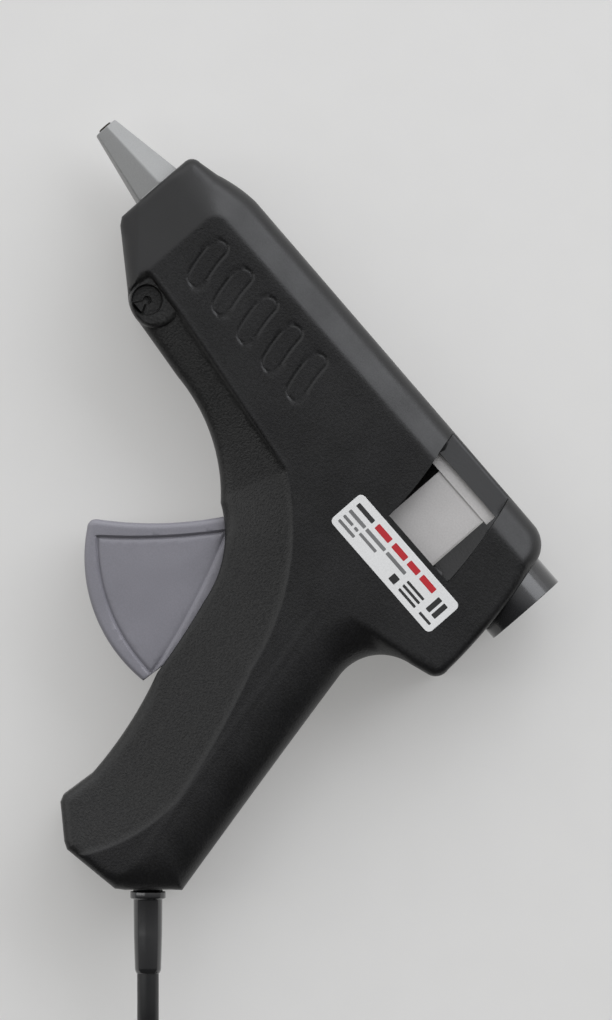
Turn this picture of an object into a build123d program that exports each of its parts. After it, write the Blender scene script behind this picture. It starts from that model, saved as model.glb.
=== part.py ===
"""Trigger-fed hot-glue gun for 11 mm sticks, lying on its right side.

Lengths are in millimetres. The gun plane is the parting plane between the two housing halves. Its local
x runs back along the barrel from the housing's nose, its local y runs up from the barrel's axis, and its
normal points out of the gun's left side, which is world +Z.
"""
import os
from math import cos, pi, radians, sin, tan

from build123d import *

os.makedirs("parts", exist_ok=True)

# ---------------------------------------------------------------- driving dimensions
TIP_X = -22.9  # nozzle tip, in front of the housing's nose
COLLAR_X = 160.4  # rear face of the stick inlet
TOP_Y = 18.4  # top of the barrel, above its axis
TOE_Y = -143.4  # foot of the grip
PANEL_DEPTH = 17.0  # half the barrel's thickness
CORE_DEPTH = 14.0  # half the grip's thickness
WALL = 2.2
EDGE_BEVEL = 2.5
STICK_BORE = 6.1  # radius that passes an 11.2 mm stick

PIVOT = (96.0, -51.0)  # trigger pin
TRIGGER_RADIUS = 45.3  # pivot to the trigger's lower arc
TRIGGER_HALF = 9.3  # half the trigger's width
DRIVE = (113.0, -21.0)  # drive pin at rest, on the trigger's arm
PIN_RADIUS = 2.0
RUNNING_FIT = 0.06

CHAMBER_RADIUS = 8.0
CARRIAGE_X = (114.2, 132.8)  # front and rear of the carriage's body at rest
SCREWS = [  # x, y, and how deep the boss reaches into the side wall
    (23, 13, 12.5),
    (76, 13.6, 12.5),
    (62, -26, 12.5),
    (150, -27, 15),
    (138, -80, 12.5),
    (124, -131, 12.5),
]
SPRING_POST = (152.5, -18.0)

CORD_RADIUS = 3.1
CORD_ANGLE = -41.1  # direction in which the cord leaves the grip
CORD_EXIT = (149.7, -134.0)  # where the cord crosses the grip's foot
RELIEF_LENGTH = 24.0
COIL_LANES = (27.6, 40.4)  # middle of the innermost and the outermost turn
COIL_DISTANCE = 95.2  # grip's foot to the coil's centre, along the cord
LANE = 6.4  # spacing of the coil's turns

GUN = Plane(
    origin=(-(TIP_X + COLLAR_X) / 2, -(TOP_Y + TOE_Y) / 2, PANEL_DEPTH),
    x_dir=(1, 0, 0),
    z_dir=(0, 0, 1),
)


def station(x, y=0.0, z=0.0):
    """Plane across the barrel at x, facing the rear: its own x is up, its own y is the gun's left."""
    return Plane(origin=GUN.from_local_coords((x, y, z)), x_dir=(0, 1, 0), z_dir=(1, 0, 0))


def turning(x=0.0, y=0.0, z=0.0):
    """Plane that holds an axis along the barrel, for profiles that are revolved about its own x axis."""
    return Plane(origin=GUN.from_local_coords((x, y, z)), x_dir=(1, 0, 0), z_dir=(0, 0, 1))


def barrel_turned(points, centre=(0.0, 0.0)):
    """Revolve a closed profile, given as (along, radius), about an axis along the barrel."""
    plane = turning(0, centre[0], centre[1])
    with BuildSketch(plane) as half_section:
        with BuildLine():
            Polyline(*points, close=True)
        make_face()
    revolve(half_section.sketch, axis=Axis(plane.origin, (1, 0, 0)))


# ---------------------------------------------------------------- profiles of the housing
with BuildSketch() as housing_profile:
    with BuildLine():
        Polyline((0, 11), (0, -13.2), (1.6, -15.2), (17.6, -26.2))
        ThreePointArc((17.6, -26.2), (21.5, -28.6), (26, -29.3))
        Line((26, -29.3), (45, -31.2))
        ThreePointArc((45, -31.2), (64, -35.2), (80, -45.6))
        ThreePointArc((80, -45.6), (91.2, -54.2), (98, -67.5))
        ThreePointArc((98, -67.5), (101.6, -79), (104.6, -91))
        ThreePointArc((104.6, -91), (110.6, -107.5), (114, -124))
        Polyline((114, -124), (113.2, -134), (114.2, -136), (123.4, -142.5), (125.6, TOE_Y))
        Polyline((125.6, TOE_Y), (143, -140.5), (145.2, -138.6), (153.7, -128.8), (156, -126.4))
        ThreePointArc((156, -126.4), (146.8, -86), (139.3, -52))
        ThreePointArc((139.3, -52), (141.8, -40.8), (150.2, -35))
        Line((150.2, -35), (155.6, -33.2))
        ThreePointArc((155.6, -33.2), (157.9, -31.4), (158.4, -28))
        ThreePointArc((158.4, -28), (156.1, -8), (152, 9.6))
        ThreePointArc((152, 9.6), (149.4, 15.2), (143.6, 17.6))
        Line((143.6, 17.6), (22, TOP_Y))
        ThreePointArc((22, TOP_Y), (15, 17.2), (9, 15.2))
        Line((9, 15.2), (3.2, 13.8))
        ThreePointArc((3.2, 13.8), (0.9, 12.9), (0, 11))
    make_face()

# Raised side panel: the barrel's flat flank, and the strip that runs on down the grip.
with BuildSketch() as panel_profile:
    with BuildLine():
        Polyline((16.5, 10.5), (16.5, -19.4), (31, -19.4), (85, -26.2))
        ThreePointArc((85, -26.2), (107.4, -44.4), (120.6, -70))
        ThreePointArc((120.6, -70), (127, -85.6), (134.4, -106))
        ThreePointArc((134.4, -106), (134.6, -119), (129.5, -136))
        Polyline((129.5, -136), (140, -135), (146, -124))
        ThreePointArc((146, -124), (137.8, -88), (130, -52))
        ThreePointArc((130, -52), (132.6, -41), (141, -34.5))
        Polyline((141, -34.5), (154.5, -31), (156.6, -27))
        ThreePointArc((156.6, -27), (154.6, -8), (150.8, 10.5))
        Line((150.8, 10.5), (16.5, 10.5))
    make_face()

# Feed window: its ends lean back and bow like the grooves beside it.
WINDOW_TOP = 10.8
WINDOW_FOOT = -11.8
with BuildSketch() as window_profile:
    with BuildLine():
        Line((110.2, WINDOW_TOP), (134.2, WINDOW_TOP))
        ThreePointArc((134.2, WINDOW_TOP), (137.9, -1), (139.6, WINDOW_FOOT))
        Line((139.6, WINDOW_FOOT), (114.3, WINDOW_FOOT))
        ThreePointArc((114.3, WINDOW_FOOT), (113, -1), (110.2, WINDOW_TOP))
    make_face()

# ---------------------------------------------------------------- housing
NOSE_SLOPE = [(-1, 11.5), (17, 14.6), (17, 20), (-1, 20)]  # along, outwards


def nose_wedge(inwards):
    """Cut the tapering flank of the nose, moved inwards by a wall's thickness for the cavity."""
    plane = Plane(
        origin=GUN.from_local_coords((0, TOP_Y + 1, 0)), x_dir=(1, 0, 0), z_dir=(0, -1, 0)
    )
    with BuildSketch(plane) as wedge:
        with BuildLine():
            Polyline(*[(x, w - inwards) for x, w in NOSE_SLOPE], close=True)
        make_face()
    extrude(wedge.sketch, amount=60, mode=Mode.SUBTRACT)


with BuildPart() as outer_half:
    with BuildSketch(GUN):
        add(housing_profile.sketch)
    extrude(amount=CORE_DEPTH - EDGE_BEVEL)
    with BuildSketch(GUN.offset(CORE_DEPTH - EDGE_BEVEL)):
        add(housing_profile.sketch)
    extrude(amount=EDGE_BEVEL, taper=40)
    with BuildSketch(GUN.offset(CORE_DEPTH - 2)):
        add(panel_profile.sketch)
    extrude(amount=PANEL_DEPTH - CORE_DEPTH + 2, taper=15)
    nose_wedge(0)


def rib(start, thickness, bore, foot):
    """Leave a rib across the cavity, with a bore that carries a piece on the barrel's axis."""
    with BuildSketch(station(start)) as section:
        with Locations(((TOP_Y + foot) / 2, PANEL_DEPTH / 2)):
            Rectangle(TOP_Y - foot, PANEL_DEPTH)
        Circle(bore, mode=Mode.SUBTRACT)
        with Locations((foot / 2 - 4, 0)):
            Rectangle(-foot - 8, 16, mode=Mode.SUBTRACT)
    extrude(section.sketch, amount=thickness, mode=Mode.SUBTRACT)


def ledge(low, high, inner):
    """Leave a rail along the cavity's side wall, which guides the carriage."""
    with BuildSketch(station(88)) as section:
        with Locations(((low + high) / 2, (inner + PANEL_DEPTH) / 2)):
            Rectangle(high - low, PANEL_DEPTH - inner)
    extrude(section.sketch, amount=50, mode=Mode.SUBTRACT)


BUSH_RADIUS = 10.0
TUBE_RADIUS = 7.1
with BuildPart() as cavity:
    with BuildSketch(GUN):
        add(housing_profile.sketch)
        offset(amount=-WALL)
    extrude(amount=CORE_DEPTH - WALL)
    with BuildSketch(GUN.offset(CORE_DEPTH - WALL)):
        add(panel_profile.sketch)
        offset(amount=-3.5)
    extrude(amount=PANEL_DEPTH - CORE_DEPTH)
    nose_wedge(WALL)
    rib(6, 3, BUSH_RADIUS, -13)
    rib(51.5, 2, CHAMBER_RADIUS + 0.05, -13)
    rib(84, 2, 7.9, -13)
    rib(140, 2.5, TUBE_RADIUS + 0.05, -13)
    ledge(11.1, 12.6, 6)
    ledge(-15.1, -13.6, 7.2)

EXIT = Plane(
    origin=GUN.from_local_coords((*CORD_EXIT, 0)),
    x_dir=(-sin(radians(CORD_ANGLE)), cos(radians(CORD_ANGLE)), 0),
    z_dir=(cos(radians(CORD_ANGLE)), sin(radians(CORD_ANGLE)), 0),
)
COLLAR_RADIUS = 12.3
RELIEF_RADIUS = 4.2
STAND_SOCKET = (22.8, -23.4)
LABEL_CENTRE = (125.6, -19.5)
LABEL_SIZE = (42.8, 12.1)


def at(points, plane, radius, depth, mode=Mode.ADD):
    """Extrude a disc at each point of a plane."""
    with BuildSketch(plane) as discs:
        with Locations(*points):
            Circle(radius)
    extrude(discs.sketch, amount=depth, mode=mode)


def hollow_half(sign):
    """Everything that the two housing halves share. Sign is 1 for the left half, -1 for the right."""
    if sign > 0:
        add(outer_half.part)
        add(cavity.part, mode=Mode.SUBTRACT)
    else:
        add(mirror(outer_half.part, about=GUN, mode=Mode.PRIVATE))
        add(mirror(cavity.part, about=GUN, mode=Mode.PRIVATE), mode=Mode.SUBTRACT)
    for x, y, depth in SCREWS:
        at([(x, y)], GUN, 4.2, sign * depth)
    at([PIVOT], GUN.offset(sign * 9.7), 4.0, sign * 2.8)
    at([PIVOT], GUN.offset(sign * 9.6), PIN_RADIUS, sign * 3, Mode.SUBTRACT)
    at([SPRING_POST], GUN, 1.3, sign * 15)
    # Feed window, nozzle mouth, inlet mouth and cord hole.
    with BuildSketch(GUN.offset(sign * 11)) as window:
        add(window_profile.sketch)
    extrude(window.sketch, amount=sign * 8, mode=Mode.SUBTRACT)
    at([(0, 0)], station(-1), 9.0, 4, Mode.SUBTRACT)
    at([(0, 0)], station(148.6), COLLAR_RADIUS + 0.15, 14, Mode.SUBTRACT)
    at([(0, 0)], EXIT.offset(-10), RELIEF_RADIUS + 0.1, 14, Mode.SUBTRACT)
    at([(0, 0)], EXIT.offset(-6), 6.2, 3.2, Mode.SUBTRACT)
    # Slot for the trigger, concentric with its pin.
    with BuildSketch(GUN) as slot:
        with BuildLine():
            Polyline((40, -45.9), (101, -45.9), (113, -98), (40, -98), close=True)
        make_face()
        with Locations(PIVOT):
            Circle(TRIGGER_RADIUS + 0.4, mode=Mode.INTERSECT)
    extrude(slot.sketch, amount=sign * (TRIGGER_HALF + 0.5), mode=Mode.SUBTRACT)
    # Round recess and wire hole for a stand.
    at([STAND_SOCKET], GUN.offset(sign * 8), 3.4, sign * 5)
    at([STAND_SOCKET], GUN.offset(sign * 12.6), 4.4, sign * 6, Mode.SUBTRACT)
    at([STAND_SOCKET], GUN.offset(sign * 8.8), 1.3, sign * 5, Mode.SUBTRACT)


with BuildPart() as left_shell:
    hollow_half(1)
    for x, y, depth in SCREWS:
        at([(x, y)], GUN, 1.5, 9, Mode.SUBTRACT)
    with BuildSketch(GUN.offset(PANEL_DEPTH - 0.3)):
        with Locations(LABEL_CENTRE):
            RectangleRounded(LABEL_SIZE[0] + 0.3, LABEL_SIZE[1] + 0.3, 1.7)
    extrude(amount=1, mode=Mode.SUBTRACT)
left_shell.part.label = "left_shell"
export_step(left_shell.part, "parts/left_shell.step")

CLAMP_DISTANCE = 15.0  # clamp screws, inwards from the grip's foot
CLAMP_SPREAD = 6.6
clamp_points = []
for side in (-1, 1):
    spot = GUN.to_local_coords(EXIT.from_local_coords((side * CLAMP_SPREAD, 0, -CLAMP_DISTANCE)))
    clamp_points.append((spot.X, spot.Y))

with BuildPart() as right_shell:
    hollow_half(-1)
    for x, y, depth in SCREWS:
        at([(x, y)], GUN, 1.7, -18, Mode.SUBTRACT)
        at([(x, y)], GUN.offset(-8), 3.1, -12, Mode.SUBTRACT)
    at(clamp_points, GUN.offset(-12), 2.7, 15)
    at(clamp_points, GUN.offset(-8), 1.0, 12, Mode.SUBTRACT)
right_shell.part.label = "right_shell"
export_step(right_shell.part, "parts/right_shell.step")


def screw(x, y, head_level, shank_radius, shank, head_radius, head, up):
    """Pan-head screw with a cross recess. Up is 1 where it is driven downwards, -1 where upwards."""
    at([(x, y)], GUN.offset(head_level), head_radius, up * head)
    at([(x, y)], GUN.offset(head_level), shank_radius, -up * shank)
    with BuildSketch(GUN.offset(head_level + up * head)) as cross:
        with Locations((x, y)):
            Rectangle(head_radius * 1.1, head_radius * 0.28)
            Rectangle(head_radius * 0.28, head_radius * 1.1)
    extrude(cross.sketch, amount=-up * head / 2, mode=Mode.SUBTRACT)


with BuildPart() as housing_screws:
    for x, y, depth in SCREWS:
        screw(x, y, -8, 1.45, 16, 2.9, 2, -1)
housing_screws.part.label = "housing_screws"
export_step(housing_screws.part, "parts/housing_screws.step")

# ---------------------------------------------------------------- nozzle and melt chamber
with BuildPart() as nozzle_cover:
    for x, corner in ((0, 8.45), (TIP_X + 0.5, 3.95)):
        with BuildSketch(station(x)):
            RegularPolygon(corner, 6, rotation=90)
    loft()
    at([(0, 0)], station(0), 8.4, 5.2)
    at([(0, 0)], station(2.6), 9.6, 2.6)
    with BuildSketch(turning()):
        with BuildLine():
            Polyline((TIP_X, 0), (TIP_X, 2.65), (0, 6.3), (5.3, 6.3), (5.3, 0), close=True)
        make_face()
    revolve(axis=Axis(GUN.origin, (1, 0, 0)), mode=Mode.SUBTRACT)
nozzle_cover.part.label = "nozzle_cover"
export_step(nozzle_cover.part, "parts/nozzle_cover.step")

BALL_RADIUS = 2.0
BALL_X = 0.72
with BuildPart() as nozzle_tip:
    barrel_turned([
        (TIP_X, 0.9), (TIP_X, 1.9), (TIP_X + 0.6, 2.25), (-0.4, 5.9), (5.5, 5.9), (5.5, 4.05),
        (2.1, 4.05), (2.1, 2.6), (-9.5, 2.6), (-11, 1.2), (-19, 1.2), (-19.4, 0.9),
    ])
nozzle_tip.part.label = "nozzle_tip"
export_step(nozzle_tip.part, "parts/nozzle_tip.step")

with BuildPart() as check_ball:
    with Locations(GUN.from_local_coords((BALL_X, 0, 0))):
        Sphere(BALL_RADIUS)
check_ball.part.label = "check_ball"
export_step(check_ball.part, "parts/check_ball.step")

with BuildPart() as ball_spring:
    barrel_turned([(-9.2, 1.7), (-9.2, 2.3), (-1.4, 2.3), (-1.4, 1.7)])
ball_spring.part.label = "ball_spring"
export_step(ball_spring.part, "parts/ball_spring.step")

HEATER_Y = -11.2
with BuildPart() as melt_chamber:
    barrel_turned([
        (2.2, 1.4), (2.2, 4), (5.6, 4), (5.6, 7.4), (9.4, 7.4), (9.4, CHAMBER_RADIUS),
        (60, CHAMBER_RADIUS), (60, 7.6), (72, 7.6), (72, 6), (22, 6), (12, 1.4),
    ])
    # Saddle for the heater, under the barrel.
    with BuildSketch(station(22)):
        with Locations((-11.1, 0)):
            Rectangle(6.8, 14)
        Circle(CHAMBER_RADIUS - 0.5, mode=Mode.SUBTRACT)
    extrude(amount=29)
    with BuildSketch(station(23.5)):
        with Locations((HEATER_Y, 0)):
            Rectangle(3.4, 11)
    extrude(amount=30, mode=Mode.SUBTRACT)
melt_chamber.part.label = "melt_chamber"
export_step(melt_chamber.part, "parts/melt_chamber.step")

with BuildPart() as chamber_bush:
    barrel_turned([(6, 7.45), (6, 9.95), (9, 9.95), (9, 7.45)])
chamber_bush.part.label = "chamber_bush"
export_step(chamber_bush.part, "parts/chamber_bush.step")


def slab(start, end, y, thickness, width, z=0.0):
    """Flat plate along the barrel, lying level at height y."""
    with BuildSketch(station(start)) as section:
        with Locations((y, z)):
            Rectangle(thickness, width)
    extrude(section.sketch, amount=end - start)


with BuildPart() as ptc_heater:
    slab(26, 46, HEATER_Y, 2.0, 9)
ptc_heater.part.label = "ptc_heater"
export_step(ptc_heater.part, "parts/ptc_heater.step")

with BuildPart() as heater_electrodes:
    for side in (1, -1):
        slab(25, 51, HEATER_Y + side * 1.2, 0.4, 9.6)
        slab(51, 57.4, HEATER_Y + side * 1.2, 0.4, 1.6, side * 3)
heater_electrodes.part.label = "heater_electrodes"
export_step(heater_electrodes.part, "parts/heater_electrodes.step")

with BuildPart() as heater_film:
    with BuildSketch(station(24)):
        with Locations((HEATER_Y, 0)):
            Rectangle(3.3, 10.8)
            Rectangle(2.9, 10.4, mode=Mode.SUBTRACT)
    extrude(amount=29)
heater_film.part.label = "heater_film"
export_step(heater_film.part, "parts/heater_film.step")

with BuildPart() as heater_clip:
    with BuildSketch(station(29)):
        with Locations((-12.2, 0)):
            Rectangle(6.6, 15.8)
        with Locations((-11.6, 0)):
            Rectangle(6.4, 14.2, mode=Mode.SUBTRACT)
    extrude(amount=15)
heater_clip.part.label = "heater_clip"
export_step(heater_clip.part, "parts/heater_clip.step")

with BuildPart() as inlet_sleeve:
    barrel_turned([
        (60.3, 7.65), (60.3, 9.2), (78, 9.2), (80, 7.8), (88, 7.8), (88, 5.9), (72.2, 5.9), (72.2, 7.65),
    ])
inlet_sleeve.part.label = "inlet_sleeve"
export_step(inlet_sleeve.part, "parts/inlet_sleeve.step")

with BuildPart() as sleeve_clamp:
    barrel_turned([(68, 9.22), (68, 9.9), (69.4, 9.9), (69.4, 9.22)])
sleeve_clamp.part.label = "sleeve_clamp"
export_step(sleeve_clamp.part, "parts/sleeve_clamp.step")

# ---------------------------------------------------------------- stick feed
JAW_PIVOT = (127.5, 8.6)
RAIL_TOP = 10.8
RAIL_FOOT = 7.4
with BuildPart() as feed_carriage:
    slab(CARRIAGE_X[0], CARRIAGE_X[1], (RAIL_FOOT - 13.3) / 2, RAIL_FOOT + 13.3, 21)
    slab(100, 136.6, (RAIL_TOP + RAIL_FOOT) / 2, RAIL_TOP - RAIL_FOOT, 21.8)
    # Cheeks that carry the slot for the drive pin.
    for side in (1, -1):
        with BuildSketch(GUN.offset(side * 3.5)):
            with BuildLine():
                Polyline(
                    (108.2, -12.6), (114.2, -11), (128, -11), (118, -28), (108.2, -28), close=True
                )
            make_face()
            with Locations((DRIVE[0] + 0.09, -20.6)):
                SlotCenterToCenter(8.4, 3.4, rotation=90, mode=Mode.SUBTRACT)
        extrude(amount=side * 3)
    # Tail for the return spring's hook.
    with BuildSketch(GUN.offset(-1.5)):
        with Locations((128, -17)):
            Rectangle(3, 8.4)
        with Locations((128, -18)):
            Circle(0.8, mode=Mode.SUBTRACT)
    extrude(amount=3)
    at([(0, 0)], station(99), 6.3, 40, Mode.SUBTRACT)
    # Slot for the jaw, and its pin's bore.
    with BuildSketch(station(116.5)):
        with Locations((9, 0)):
            Rectangle(8, 8)
    extrude(amount=14.4, mode=Mode.SUBTRACT)
    at([JAW_PIVOT], GUN.offset(-8), 1.2, 16, Mode.SUBTRACT)
feed_carriage.part.label = "feed_carriage"
export_step(feed_carriage.part, "parts/feed_carriage.step")

with BuildPart() as stick_gripper:
    with BuildSketch(GUN.offset(-3.6)):
        with BuildLine():
            Polyline(
                (129.4, 8.8), (128, 6.7), (122, 6.9), (121.2, 6.4), (120.4, 6.9), (119.6, 6.4),
                (118.8, 7.2), (119.4, 8.6), (127, 10.3), close=True
            )
        make_face()
        with Locations(JAW_PIVOT):
            Circle(1.2 + RUNNING_FIT, mode=Mode.SUBTRACT)
    extrude(amount=7.2)
stick_gripper.part.label = "stick_gripper"
export_step(stick_gripper.part, "parts/stick_gripper.step")

with BuildPart() as gripper_pin:
    at([JAW_PIVOT], GUN.offset(-8), 1.18, 16)
gripper_pin.part.label = "gripper_pin"
export_step(gripper_pin.part, "parts/gripper_pin.step")

with BuildPart() as return_spring:
    barrel_turned([(130, 2.0), (130, 2.6), (151, 2.6), (151, 2.0)], (SPRING_POST[1], 0))
return_spring.part.label = "return_spring"
export_step(return_spring.part, "parts/return_spring.step")

with BuildPart() as inlet_guide:
    barrel_turned([
        (134, 6.4), (134, TUBE_RADIUS), (149, TUBE_RADIUS), (149, COLLAR_RADIUS),
        (COLLAR_X - 0.8, COLLAR_RADIUS), (COLLAR_X, COLLAR_RADIUS - 0.8), (COLLAR_X, 8.4),
        (COLLAR_X - 0.8, 7.8), (155.5, STICK_BORE), (134.6, STICK_BORE),
    ])
inlet_guide.part.label = "inlet_guide"
export_step(inlet_guide.part, "parts/inlet_guide.step")

# ---------------------------------------------------------------- trigger
with BuildPart() as trigger:
    with BuildSketch(GUN.offset(-TRIGGER_HALF)):
        with BuildLine():
            ThreePointArc((83.8, -47), (75, -60), (60.4, -75.2))
            ThreePointArc((60.4, -75.2), (59.5, -77), (60.4, -79))
            ThreePointArc((60.4, -79), (79.8, -93.3), (103.7, -95.6))
            Polyline((103.7, -95.6), (103.7, -91.8), (101.4, -52), (96, -46.4), (83.8, -47))
        make_face()
        with Locations(PIVOT):
            Circle(5)
    extrude(amount=2 * TRIGGER_HALF)
    # Hollow, open at the back.
    with BuildSketch(GUN.offset(-7.1)):
        with BuildLine():
            ThreePointArc((84.5, -53.5), (74.9, -64), (63.2, -76))
            Line((63.2, -76), (64, -79.5))
            ThreePointArc((64, -79.5), (81, -91.2), (103.7, -93.2))
            Polyline((103.7, -93.2), (106, -93), (106, -58), (97, -58), (84.5, -53.5))
        make_face()
    extrude(amount=14.2, mode=Mode.SUBTRACT)
    # Recessed panel on both sides, inside the rim.
    for side in (1, -1):
        with BuildSketch(GUN.offset(side * TRIGGER_HALF)):
            with BuildLine():
                ThreePointArc((85.3, -53), (75.9, -65.8), (64.2, -78.3))
                ThreePointArc((64.2, -78.3), (81, -90.2), (103.9, -92.3))
                Polyline((103.9, -92.3), (102.4, -60), (92, -57.5), (85.3, -53))
            make_face()
        extrude(amount=-side * 0.8, mode=Mode.SUBTRACT)
    # Lever arm up to the carriage.
    with BuildSketch(GUN.offset(-3)):
        with Locations(PIVOT, DRIVE):
            Circle(3.5)
        with BuildLine():
            Polyline((92.9, -49.3), (109.9, -19.4), (116.1, -22.6), (99.1, -52.7), close=True)
        make_face()
    extrude(amount=6)
    at([PIVOT], GUN.offset(-20), PIN_RADIUS + RUNNING_FIT, 40, Mode.SUBTRACT)
    at([DRIVE], GUN.offset(-20), 1.5, 40, Mode.SUBTRACT)
trigger.part.label = "trigger"
export_step(trigger.part, "parts/trigger.step")

with BuildPart() as trigger_pin:
    at([PIVOT], GUN.offset(-12.4), PIN_RADIUS - 0.01, 24.8)
trigger_pin.part.label = "trigger_pin"
export_step(trigger_pin.part, "parts/trigger_pin.step")

with BuildPart() as drive_pin:
    at([DRIVE], GUN.offset(-6.9), 1.49, 13.8)
drive_pin.part.label = "drive_pin"
export_step(drive_pin.part, "parts/drive_pin.step")

# ---------------------------------------------------------------- label
with BuildPart() as rating_label:
    with BuildSketch(GUN.offset(PANEL_DEPTH - 0.29)):
        with Locations(LABEL_CENTRE):
            RectangleRounded(*LABEL_SIZE, 1.6)
    extrude(amount=0.2)
rating_label.part.label = "rating_label"
export_step(rating_label.part, "parts/rating_label.step")

# ---------------------------------------------------------------- wiring in the housing
TAIL_START = -24.0  # inner end of the sheathed cord, from the grip's foot
WIRE_RADIUS = 0.9
with BuildPart() as cord_tail:
    at([(0, 0)], EXIT.offset(TAIL_START), CORD_RADIUS, RELIEF_LENGTH - TAIL_START)
cord_tail.part.label = "cord_tail"
export_step(cord_tail.part, "parts/cord_tail.step")


def wire_route(side):
    """Points of one lead from the sheath's end to its electrode, clear of the trigger and its arm."""
    start = GUN.to_local_coords(EXIT.from_local_coords((0, 0, TAIL_START - 0.05)))
    first_bend = GUN.to_local_coords(EXIT.from_local_coords((0, 0, TAIL_START - 5)))
    return [
        (start.X, start.Y, side * 1.3),
        (first_bend.X, first_bend.Y, side * 1.3),
        (126, -106, side * 5),
        (126.5, -92, side * 8),
        (128.5, -68, side * 8.5),
        (121, -44, side * 8.5),
        (100, -31, side * 8.6),
        (80, -23, side * 8),
        (70, -15, side * 4.5),
        (64, HEATER_Y + side * 1.2, side * 3),
        (57.6, HEATER_Y + side * 1.2, side * 3),
    ]


with BuildPart() as lead_wires:
    for side in (1, -1):
        with BuildLine() as lead_path:
            FilletPolyline(*[GUN.from_local_coords(point) for point in wire_route(side)], radius=3)
        with BuildSketch(lead_path.line ^ 0):
            Circle(WIRE_RADIUS)
        sweep(path=lead_path.line)
lead_wires.part.label = "lead_wires"
export_step(lead_wires.part, "parts/lead_wires.step")

with BuildPart() as crimp_sleeves:
    for side in (1, -1):
        centre = (HEATER_Y + side * 1.2, side * 3)
        barrel_turned([(55, 0.92), (55, 1.35), (60, 1.35), (60, 0.92)], centre)
crimp_sleeves.part.label = "crimp_sleeves"
export_step(crimp_sleeves.part, "parts/crimp_sleeves.step")

with BuildPart() as cord_clamp:
    with BuildSketch(EXIT.offset(-CLAMP_DISTANCE - 3)):
        with Locations((0, 4.7)):
            Rectangle(18.4, 3)
        Circle(CORD_RADIUS + 0.05, mode=Mode.SUBTRACT)
    extrude(amount=6)
    at(clamp_points, GUN.offset(2), 1.3, 6, Mode.SUBTRACT)
cord_clamp.part.label = "cord_clamp"
export_step(cord_clamp.part, "parts/cord_clamp.step")

with BuildPart() as clamp_screws:
    for x, y in clamp_points:
        screw(x, y, 6.2, 0.98, 13, 2.3, 1.6, 1)
clamp_screws.part.label = "clamp_screws"
export_step(clamp_screws.part, "parts/clamp_screws.step")

# ---------------------------------------------------------------- strain relief and lead
with BuildPart() as strain_relief:
    lathe = Plane(origin=EXIT.origin, x_dir=EXIT.z_dir, z_dir=(0, 0, 1))
    bore = CORD_RADIUS + 0.05
    with BuildSketch(lathe):
        with BuildLine():
            Polyline(
                (-5.9, bore), (-5.9, 6), (-3, 6), (-3, RELIEF_RADIUS), (0.3, RELIEF_RADIUS), (0.3, 5.1),
                (2.4, 5.1), (2.6, RELIEF_RADIUS), (RELIEF_LENGTH - 1, 3.6), (RELIEF_LENGTH, bore),
                close=True,
            )
        make_face()
    revolve(axis=Axis(EXIT.origin, EXIT.z_dir))
strain_relief.part.label = "strain_relief"
export_step(strain_relief.part, "parts/strain_relief.step")

FLOOR = -PANEL_DEPTH  # the surface that the gun lies on, from the cord's exit


def soft_radii(points):
    """Arc radius at each corner of a cord's route: 0.45 of the shorter run over tan(half the turn)."""
    radii = []
    for before, here, after in zip(points, points[1:], points[2:]):
        arriving = Vector(*here) - Vector(*before)
        leaving = Vector(*after) - Vector(*here)
        half_turn = radians(arriving.get_angle(leaving)) / 2
        radii.append(0.45 * min(arriving.length, leaving.length) / tan(half_turn))
    return radii


def cord_tube(name, points):
    """Sweep the cord along straight runs joined by tangent arcs, and compare its volume."""
    radii = soft_radii(points)
    with BuildLine() as path:
        FilletPolyline(*[EXIT.from_local_coords(point) for point in points], radius=radii)
    with BuildSketch(path.line ^ 0) as section:
        Circle(CORD_RADIUS)
    sweep(section.sketch, path=path.line)
    length = sum(edge.length for edge in path.edges())
    print(name, "radii", [round(radius, 1) for radius in radii], "length", round(length, 1))
    return pi * CORD_RADIUS**2 * length


# Points are (across, up, along) from the cord's exit.
CORD_ROUTE = [
    (0, 0, RELIEF_LENGTH),
    (0, 0, 40),
    (0, -6.8, 56),
    (0, FLOOR + CORD_RADIUS, 71),
    (0.4, FLOOR + CORD_RADIUS, 88),
]
with BuildPart() as power_cord:
    expected = cord_tube("power_cord", CORD_ROUTE)
print("power_cord volume", round(power_cord.part.volume, 1), "expected", round(expected, 1))
power_cord.part.label = "power_cord"
export_step(power_cord.part, "parts/power_cord.step")

COIL_HEIGHT = 2 * LANE
coil_centre = (COIL_LANES[1], FLOOR, COIL_DISTANCE)
with BuildPart() as cord_coil:
    coil_axis = Plane(origin=EXIT.from_local_coords(coil_centre), z_dir=(0, 0, 1))
    with BuildSketch(coil_axis):
        Circle(COIL_LANES[1] + LANE / 2)
        Circle(COIL_LANES[0] - LANE / 2, mode=Mode.SUBTRACT)
    extrude(amount=COIL_HEIGHT)
    chamfer(cord_coil.edges(), length=1.6)
cord_coil.part.label = "cord_coil"
export_step(cord_coil.part, "parts/cord_coil.step")

PLUG_LENGTH = 36.0
PLUG_FACE = (35.3, 13.7)
plug_level = FLOOR + COIL_HEIGHT + 0.2 + PLUG_FACE[1] / 2
plug_along = COIL_DISTANCE + 34.3
plug_entry = COIL_LANES[1] + 1.0
END_ROUTE = [
    (0, FLOOR + 9.4, COIL_DISTANCE - 7),
    (0, FLOOR + 12.5, COIL_DISTANCE + 9),
    (9.2, FLOOR + 17.2, COIL_DISTANCE + 25),
    (25.2, plug_level, plug_along),
    (plug_entry, plug_level, plug_along),
]
with BuildPart() as cord_end:
    expected = cord_tube("cord_end", END_ROUTE)
print("cord_end volume", round(cord_end.part.volume, 1), "expected", round(expected, 1))
cord_end.part.label = "cord_end"
export_step(cord_end.part, "parts/cord_end.step")

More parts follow.
